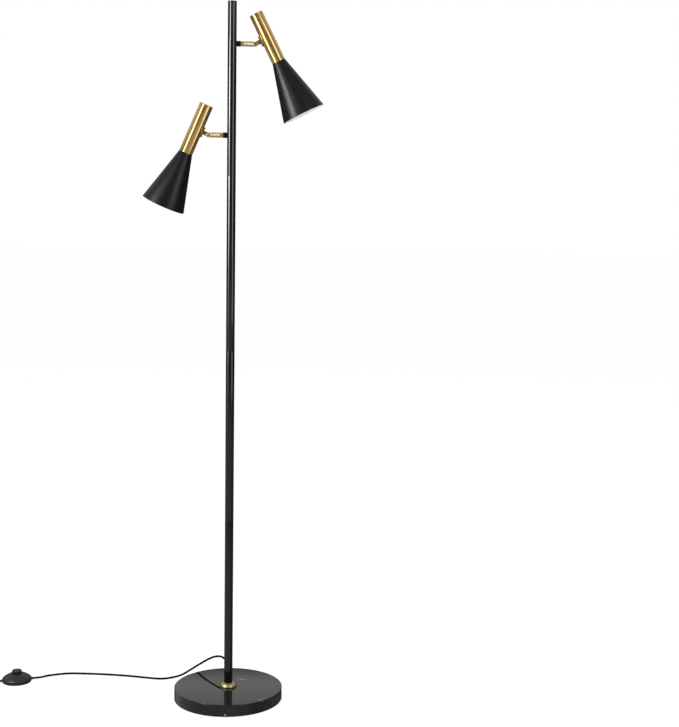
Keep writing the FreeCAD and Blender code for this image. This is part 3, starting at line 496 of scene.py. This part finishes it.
def lathe(name, points, matrix, body, stands_for, materials, segments=96, closed=False, wrap=None, choose=None, sharp=32):
    bm = lathe_into(bmesh.new(), points, segments, closed, wrap, choose)
    return finish_mesh(name, bm, matrix, body, stands_for, materials, sharp)


def place(x=0, y=0, z=0):
    return Matrix.Translation((x * MM, y * MM, z * MM))


def turned(degrees, axis):
    return Matrix.Rotation(math.radians(degrees), 4, axis)


# ------------------------------------------------------------------ foot
BASE_R, PAD_THK, MARBLE_TOP = 126.6, 0.8, 28.5
lathe("marble_foot", rounded([
    (4.1, 8.8), (24, 8.8, 0.5), (24, PAD_THK, 0.6), (BASE_R, PAD_THK, 0.9), (BASE_R, MARBLE_TOP, 1.0), (4.1, MARBLE_TOP)], 6, True),
    Matrix.Identity(4), "root", ["marble_base"], [MAT["marble"]], 256, True)

# ------------------------------------------------------------------ pole
SEAMS = (28.5, 427, 825, 1223, 1609)
for k in range(4):
    low, high = SEAMS[k] + (0.06 if k else 0), SEAMS[k + 1] - (0.06 if k < 3 else 0)
    lathe("pole_tube_%d" % (k + 1), rounded([
        (8.8, low), (10, low, 0.35 if k else 0), (10, high, 0.35 if k < 3 else 0.05), (8.8, high)], 4, True),
        Matrix.Identity(4), "root", ["pole_section_%d" % (k + 1)], [MAT["pole_black"]], 96, True)
lathe("pole_top_cap", rounded([(8.7, 1601), (8.7, 1609), (10, 1609, 0.15), (10, 1611, 0.7), (0, 1611)], 5),
      Matrix.Identity(4), "root", ["pole_cap"], [MAT["pole_black"]], 96)


# ------------------------------------------------------------------ strain reliefs
def relief_line(foot, long, thick, thin, grooves, depth=0.65):
    """A tapered sleeve with rings cut in it: foot is the line up to its base."""
    points = list(foot)
    start = points[-1][1]
    pitch = (long - 3.5 - start) / grooves
    for k in range(grooves):
        a = start + 0.6 + pitch * k
        for at, cut in ((a, 0), (a + pitch * 0.42, 0), (a + pitch * 0.5, depth), (a + pitch * 0.82, depth), (a + pitch * 0.9, 0)):
            share = (at - start) / (long - start)
            points.append((thick + (thin - thick) * share - cut * (1 - 0.5 * share), at, 0.12))
    points += [(thin + 0.05, long - 2.2), (thin, long, 0.3), (0, long)]
    return rounded(points, 3)


back = turned(-90, "X")
lathe("outlet_relief", relief_line([(0, -1.3), (5.1, -1.3, 0.2), (5.2, 0.6), (5.0, 2.2, 0.4)], 22, 4.7, 2.85, 7),
      place(0, 10, 70.5) @ back, "root", ["pole_gland"], [MAT["rubber_black"]], 48)

SWITCH = place(-512.3, 131.2, 0) @ turned(13, "Z")
for name, side in (("switch_relief_in", 1), ("switch_relief_out", -1)):
    lathe(
        name + "_sleeve", relief_line([(0, -1.5), (2.5, -1.5), (2.5, 0.1), (3.2, 0.3, 0.15), (3.1, 1.6, 0.3)], 12, 3.0, 2.6, 4, 0.25),
        SWITCH @ place(side * 34.85, 0, 5) @ turned(90 * side, "Y"), "root", [name], [MAT["rubber_black"]], 48)

PLUG = place(-676, 247, 7.6)
plug_sleeve = lathe("plug_sleeve", [(r, 22 - z) for r, z in reversed(relief_line([(0, -1.0), (4.8, -1.0), (4.8, 1.2, 0.3)], 22, 4.6, 2.85, 7))],
                    place(-676, 225, 7.6) @ back, "root", ["plug_relief"], [MAT["plug_black"]], 48)

# ------------------------------------------------------------------ heads
SIDES = {"upper": (1, 1517.6, 0, 26.6), "lower": (-1, 1314, 6.6, 23.45)}
TUBE_R, UP, DOWN, SHADE, MOUTH = 15.5, 59.4, -57.2, 129, 50.3
for which, (side, height, swivel, tilt) in SIDES.items():
    head = place(side * 52, 0, height) @ turned(swivel, "X") @ turned(-side * tilt, "Y")
    if side < 0:
        head = head @ turned(180, "Z")
    tube = head @ place(30.7, 0, 0)
    body = which + "_head"

    seam = UP - 4
    lathe(which + "_tube", rounded([
        (14.3, DOWN), (TUBE_R, DOWN, 0.12), (TUBE_R, seam, 0.25), (14.3, seam)], 4, True),
        tube, body, [which + "_head_tube"], [MAT["gold_brushed"]], 128, True)
    lathe(which + "_end_cap", rounded([
        (13.1, seam - 5), (14.25, seam - 5, 0.3), (14.25, seam), (TUBE_R - 0.25, seam + 0.02), (TUBE_R, seam + 0.3, 0.2),
        (TUBE_R, UP, 0.45), (8, UP - 0.04), (0, UP - 0.06), ], 5) + [(0, UP - 1.5), (13.1, UP - 1.5)],
        tube, body, [which + "_tube_cap"], [MAT["gold_brushed"], MAT["gold_end"]], 128, False,
        choose=lambda a, b: 1 if min(a[1], b[1]) > UP - 0.45 and max(a[0], b[0]) < TUBE_R - 0.1 else 0)

    # shade: black outside, white inside, a thin rim turned over at the mouth
    low = DOWN - SHADE
    slope = (MOUTH - TUBE_R) / SHADE
    line = rounded([
        (14.2, DOWN + 9.9), (14.2, DOWN, 0), (TUBE_R, DOWN - 0.02, 0.1), (MOUTH, low, 0.42), (MOUTH - 1.0, low, 0.42),
        (MOUTH - 1.0 - 3.4 * slope, low + 3.4), (MOUTH - 1.0 - 3.41 * slope, low + 3.41),
        (TUBE_R - 0.75, DOWN - 1.2, 0.8), (9.3, DOWN - 1.2, 0.2), (9.3, DOWN + 0.3), (13.2, DOWN + 0.3), (13.2, DOWN + 9.9)], 5, True)
    turn_at = max(range(len(line)), key=lambda i: (-round(line[i][1], 3), -line[i][0]))
    index_of = {p: i for i, p in enumerate(line)}
    lathe(which + "_shade_cone", line, tube, body, [which + "_shade"],
          [MAT["shade_black"], MAT["shade_white"]], 160, True,
          choose=lambda a, b: 1 if index_of[a] >= turn_at + 6 and a[1] < DOWN + 0.29 and index_of[a] < len(line) - 2 else 0)

    # bulb: a white collar that goes up into the holder, and an opal globe
    zc = DOWN - 46
    globe = [(22.5 * math.cos(math.radians(t)), zc + 22.5 * math.sin(math.radians(t))) for t in range(-90, 56, 4)]
    line = [(0, globe[0][1])] + globe[1:] + rounded([
        globe[-1], (11.2, zc + 21.4, 2.5), (10.6, DOWN - 20, 1.2), (10.3, DOWN - 17.5, 0.4), (9.4, DOWN - 15.4, 0.6),
        (6.2, DOWN - 13.2), (6.0, DOWN + 3), (2.2, DOWN + 5), (0, DOWN + 5)], 4)[1:]
    lathe(which + "_lamp_bulb", line, tube, body, [which + "_bulb"], [MAT["bulb_opal"], MAT["shade_white"]], 96,
          choose=lambda a, b: 1 if min(a[1], b[1]) > DOWN - 22 else 0)

    # two small pan-head screws that hold the saddle to the tube
    bm = bmesh.new()
    for z in (9, -9):
        part = lathe_into(bmesh.new(), rounded([
            (0, -1.5), (0.55, -1.45), (1.5, -1.25, 0.4), (2.1, -0.35, 0.3), (2.1, 0), (1.25, 0), (1.25, 5), (0, 5)], 3), 32, False)
        spot = place(15.2 - 2.3, 0, z) @ turned(90, "Y")
        bmesh.ops.transform(part, matrix=spot, verts=part.verts)
        held = bpy.data.meshes.new("held")
        part.to_mesh(held)
        part.free()
        bm.from_mesh(held)
        bpy.data.meshes.remove(held)
    # the screws take the saddle's darker brass, with its painted shade
    finish_mesh(which + "_pan_screws", bm, head, body, [which + "_saddle_screws"], [MAT["gold_bracket"]])

# ------------------------------------------------------------------ foot switch
cover = lathe("switch_shell", rounded([
    (33.05, 0.6), (33.8, 0.6, 0.3), (34.85, 2.2, 0.8), (34.85, 8.6, 1.0), (33.2, 10.8, 3), (27.5, 15.0, 12), (20.5, 18.8, 14), (13.8, 21.2, 0.6),
    (12.2, 21.2, 0.5), (12.2, 19.0), (20, 15.8), (27, 12.0), (31.5, 9.2, 2), (33.05, 7.8, 1)], 5, True),
    SWITCH, "root", ["switch_cover"], [MAT["switch_black"]], 128, True)
lathe("switch_knob", rounded([
    (9.2, 16.8), (13.4, 16.8), (13.4, 18.4), (11.6, 18.4), (11.6, 28.8, 1.9), (9.0, 28.8, 0.5), (8.4, 28.2, 0.5), (6, 28.1),
    (0, 28.3)], 5) + [(0, 26.4), (9.2, 26.0)],
    SWITCH, "button", ["switch_button"], [MAT["switch_black"]], 96)


# ------------------------------------------------------------------ plug
def plug_shell():
    """A moulded body: rounded sections along its length, waisted, with grip ribs on its flat sides."""
    bm = bmesh.new()
    stations = [(0.0, 7.6, 5.4), (0.5, 8.6, 6.1), (1.6, 9.6, 6.6), (4, 10.8, 7.0)]
    at = 5.0
    while at < 18:
        waist = 0.9 * math.sin(math.pi * (at - 4) / 15) ** 2
        stations += [(at, 11.2 - waist, 6.9 - waist * 0.5), (at + 0.45, 11.6 - waist, 7.45 - waist * 0.5), (at + 1.15, 11.6 - waist, 7.45 - waist * 0.5), (at + 1.6, 11.2 - waist, 6.9 - waist * 0.5)]
        at += 2.2
    stations += [(19.5, 11.8, 7.2), (22, 12.6, 7.45), (25, 13.0, 7.6), (29.2, 13.0, 7.6), (29.8, 12.7, 7.3), (30, 12.1, 6.7)]
    rings = []
    for y, half_wide, half_thick in stations:
        ring = []
        for k in range(64):
            angle = 2 * math.pi * k / 64
            c, s = math.cos(angle), math.sin(angle)
            power = 2 / 4.2
            ring.append(bm.verts.new((half_wide * MM * math.copysign(abs(c) ** power, c), y * MM, half_thick * MM * math.copysign(abs(s) ** power, s))))
        rings.append(ring)
    for a, b in zip(rings, rings[1:]):
        for k in range(64):
            m = (k + 1) % 64
            bm.faces.new((a[k], b[k], b[m], a[m]))
    bm.faces.new(rings[0])
    bm.faces.new(list(reversed(rings[-1])))
    return finish_mesh("plug_shell", bm, PLUG, "root", ["plug_body"], [MAT["plug_black"]], 40)


def plug_pins():
    """Two flat blades with rounded ends and a hole near the tip."""
    bm = bmesh.new()
    for side in (-1, 1):
        half = 3.175
        outer = [(-half, 0), (half, 0), (half, 13.2), (half - 1.4, 16.0), (-half + 1.4, 16.0), (-half, 13.2)]
        outer = rounded([(x, y, r) for (x, y), r in zip(outer, (0, 0, 1.2, 1.2, 1.2, 1.2))], 4, True)
        hole = [(1.6 * math.cos(2 * math.pi * k / 20), 11.2 + 1.6 * math.sin(2 * math.pi * k / 20)) for k in range(20)]
        layers = []
        for x in (-0.75, 0.75):
            rings = [[bm.verts.new(((side * 6.35 + x) * MM, (30 + y) * MM, z * MM)) for z, y in line] for line in (outer, hole)]
            edges = []
            for ring in rings:
                edges += [bm.edges.new((ring[k], ring[(k + 1) % len(ring)])) for k in range(len(ring))]
            bmesh.ops.triangle_fill(bm, edges=edges, use_beauty=True)
            layers.append(rings)
        for a, b in zip(*layers):
            for k in range(len(a)):
                m = (k + 1) % len(a)
                bm.faces.new((a[k], b[k], b[m], a[m]))
    return finish_mesh("plug_pins", bm, PLUG, "root", ["plug_blades"], [MAT["plug_blades"]])


shell, pins = plug_shell(), plug_pins()


# ------------------------------------------------------------------ tie round the coil
def tie_strap():
    """A flat woven strap round the turns."""
    outline = [(20.4, 0.45, 2), (36.6, 0.45, 2), (36.9, 4.4, 2.2), (34.6, 9.2, 3), (31.4, 14.3, 2.6), (25.6, 14.3, 2.6), (22.4, 9.4, 3), (20.1, 4.4, 2.2)]
    loop = rounded(outline, 5, True)
    bm = bmesh.new()

    def band(line, closed, lift, wide):
        n = len(line)
        rings = []
        for i, (r, z) in enumerate(line):
            before, after = Vector(line[i - 1] if closed or i else line[i]), Vector(line[(i + 1) % n] if closed or i < n - 1 else line[i])
            along = (after - before).normalized()
            outward = Vector((along.y, -along.x))
            ring = []
            for w, t in ((-wide, 0.15), (-wide, 0.5), (-wide + 0.3, 0.7), (wide - 0.3, 0.7), (wide, 0.5), (wide, 0.15), (wide - 0.3, 0), (-wide + 0.3, 0)):
                p = Vector((r, z)) + outward * (t + lift)
                ring.append(bm.verts.new((p.x * MM, w * MM, max(p.y, 0.02) * MM)))
            rings.append(ring)
        for i in range(n if closed else n - 1):
            a, b = rings[i], rings[(i + 1) % n]
            for k in range(8):
                m = (k + 1) % 8
                bm.faces.new((a[k], b[k], b[m], a[m]))
        if not closed:
            bm.faces.new(rings[0])
            bm.faces.new(list(reversed(rings[-1])))

    band(loop, True, 0.0, 4.5)
    return finish_mesh("tie_strap", bm, Matrix.Translation((COIL_X, COIL_Y, 0)) @ turned(62, "Z"), "root",
                       ["cord_tie"], [MAT["tie_black"]], 50)


tie = tie_strap()

# ------------------------------------------------------------------ floor, backdrop and light
floor_mat = bpy.data.materials.new("floor_white")
floor_mat.use_nodes = True
floor_shader = floor_mat.node_tree.nodes["Principled BSDF"]
floor_shader.inputs["Base Color"].default_value = (0.35, 0.35, 0.35, 1)
floor_shader.inputs["Roughness"].default_value = 0.9
floor_shader.inputs["Specular IOR Level"].default_value = 0.0
floor_shader.inputs["Emission Color"].default_value = (1, 1, 1, 1)
floor_shader.inputs["Emission Strength"].default_value = 0.81
bm = bmesh.new()
bmesh.ops.create_circle(bm, cap_ends=True, segments=96, radius=60)
mesh = bpy.data.meshes.new("floor")
bm.to_mesh(mesh)
bm.free()
floor = bpy.data.objects.new("floor", mesh)
scene.collection.objects.link(floor)
mesh.materials.append(floor_mat)
floor.visible_glossy = False

sky_mat = bpy.data.materials.new("backdrop_white")
sky_mat.use_nodes = True
sky_tree = sky_mat.node_tree
sky_tree.nodes.remove(sky_tree.nodes["Principled BSDF"])
glow = node(sky_tree, "Emission", Strength=1.0)
glow.inputs["Color"].default_value = (1, 1, 1, 1)
link(sky_tree, glow.outputs["Emission"], sky_tree.nodes["Material Output"].inputs["Surface"])
bm = bmesh.new()
bmesh.ops.create_uvsphere(bm, u_segments=48, v_segments=24, radius=70)
mesh = bpy.data.meshes.new("backdrop")
bm.to_mesh(mesh)
bm.free()
backdrop = bpy.data.objects.new("backdrop", mesh)
scene.collection.objects.link(backdrop)
mesh.materials.append(sky_mat)
backdrop.visible_diffuse = backdrop.visible_glossy = backdrop.visible_shadow = backdrop.visible_transmission = False

world = bpy.data.worlds.new("studio")
scene.world = world
world.use_nodes = True
tree = world.node_tree
background = tree.nodes["Background"]
coords = node(tree, "TexCoord")
split = node(tree, "SeparateXYZ")
link(tree, coords.outputs["Generated"], split.inputs["Vector"])
low_light = between(tree, split.outputs["Z"], -0.16, -0.02, 0.28, 0.0, smooth=True)
level_light = calc(tree, "ADD", low_light, 0.16)
behind = between(tree, split.outputs["Y"], 0.25, 0.8, 1.0, 0.2, smooth=True)
right_side = between(tree, split.outputs["X"], 0.5, 0.85, 1.0, 0.45, smooth=True)
level_light = calc(tree, "MULTIPLY", calc(tree, "MULTIPLY", level_light, behind), right_side)
left_side = between(tree, split.outputs["X"], -0.97, -0.6, 0.03, 0.0, smooth=True)
low_left = calc(tree, "MULTIPLY", between(tree, split.outputs["Y"], 0.4, 0.6, 0.0, 0.3, smooth=True), between(tree, split.outputs["Z"], -0.25, -0.12, 1.0, 0.0, smooth=True))
low_left = calc(tree, "MULTIPLY", low_left, between(tree, split.outputs["X"], -0.6, -0.4, 1.0, 0.0, smooth=True))
left_side = calc(tree, "ADD", left_side, low_left)
high = between(tree, split.outputs["Z"], 0.16, 0.34, 0.0, 1.0, smooth=True)
high = calc(tree, "MULTIPLY", high, between(tree, split.outputs["Y"], -0.1, 0.5, 0.30, 0.62, smooth=True))
value = calc(tree, "ADD", calc(tree, "ADD", level_light, left_side), high)
grey = node(tree, "CombineColor")
for socket in grey.inputs:
    link(tree, value, socket)
link(tree, grey.outputs["Color"], background.inputs["Color"])
background.inputs["Strength"].default_value = 1.0


def light_group(name, parts, state):
    """The pieces of both heads that a light box reaches, or the ones it spares."""
    group = bpy.data.collections.new(name)
    for which in SIDES:
        for part in parts:
            group.objects.link(bpy.data.objects[which + part])
    for item in group.collection_objects:
        item.light_linking.link_state = state
    return group


tube_group = light_group("gold_tubes_only", ("_tube", "_end_cap"), "INCLUDE")
shade_group = light_group("shades_only", ("_shade_cone",), "INCLUDE")
other_group = light_group("all_but_gold_tubes", ("_tube", "_end_cap"), "EXCLUDE")
plain_group = light_group("all_but_heads", ("_tube", "_end_cap", "_shade_cone"), "EXCLUDE")


def strip(name, azimuth, distance, low, high_end, wide, radiance, soft=False, group=None):
    """An upright light box round the lamp; azimuth 0 is the front, and grows to the right."""
    data = bpy.data.lights.new(name, "AREA")
    data.shape = "RECTANGLE"
    tall = high_end - low
    data.size, data.size_y = wide, tall
    data.energy = radiance * math.pi * wide * tall
    obj = bpy.data.objects.new(name, data)
    scene.collection.objects.link(obj)
    a = math.radians(azimuth)
    obj.location = (math.sin(a) * distance, -math.cos(a) * distance, (low + high_end) / 2)
    facing = Vector((-math.sin(a), math.cos(a), 0))
    obj.rotation_mode = "QUATERNION"
    obj.rotation_quaternion = facing.to_track_quat("-Z", "Y")
    obj.visible_camera = False
    obj.visible_diffuse = soft
    if group:
        obj.light_linking.receiver_collection = group
    return obj


for k, (low, high_end, radiance, azimuth) in enumerate((
        (1.90, 2.22, 13.0, -52), (1.72, 1.90, 18.0, -60), (1.40, 1.72, 24.0, -61), (1.20, 1.40, 14.0, -61), (1.00, 1.20, 9.0, -61),
        (0.84, 1.00, 4.2, -61), (0.62, 0.84, 2.0, -60), (0.40, 0.62, 0.6, -60))):
    strip("light_left_%d" % (k + 1), azimuth, 1.7, low, high_end, 0.62, radiance, group=other_group if k else plain_group)
strip("shades_left_high", -31, 1.7, 1.90, 2.22, 0.62, 3.0, group=shade_group)
strip("light_right", 40, 1.7, 1.0, 2.4, 0.72, 3.0, group=other_group)
strip("light_right_low", 48, 1.7, 0.6, 1.0, 0.72, 2.2, group=other_group)
# the boxes that black paint needs would burn out on gold, so the tubes have softer ones of their own
strip("tubes_left_low", -52, 1.7, 0.2, 1.3, 0.60, 4.4, group=tube_group)
strip("tubes_left_high", -46, 1.7, 1.3, 2.5, 0.60, 4.4, group=tube_group)
strip("tubes_right", 40, 1.7, 1.0, 2.6, 0.66, 1.7, group=tube_group)
strip("tubes_right_low", 52, 1.7, 0.15, 1.0, 0.66, 1.4, group=tube_group)

overhead = bpy.data.lights.new("light_top", "AREA")
overhead.shape = "DISK"
overhead.size = 3.0
overhead.energy = 60
lamp = bpy.data.objects.new("light_top", overhead)
scene.collection.objects.link(lamp)
lamp.location = (-0.4, -0.6, 3.6)
lamp.visible_camera = False
lamp.visible_glossy = False

scene.view_settings.view_transform = "Standard"
scene.view_settings.look = "None"
scene.view_settings.exposure = 0.0
scene.view_settings.gamma = 1.0
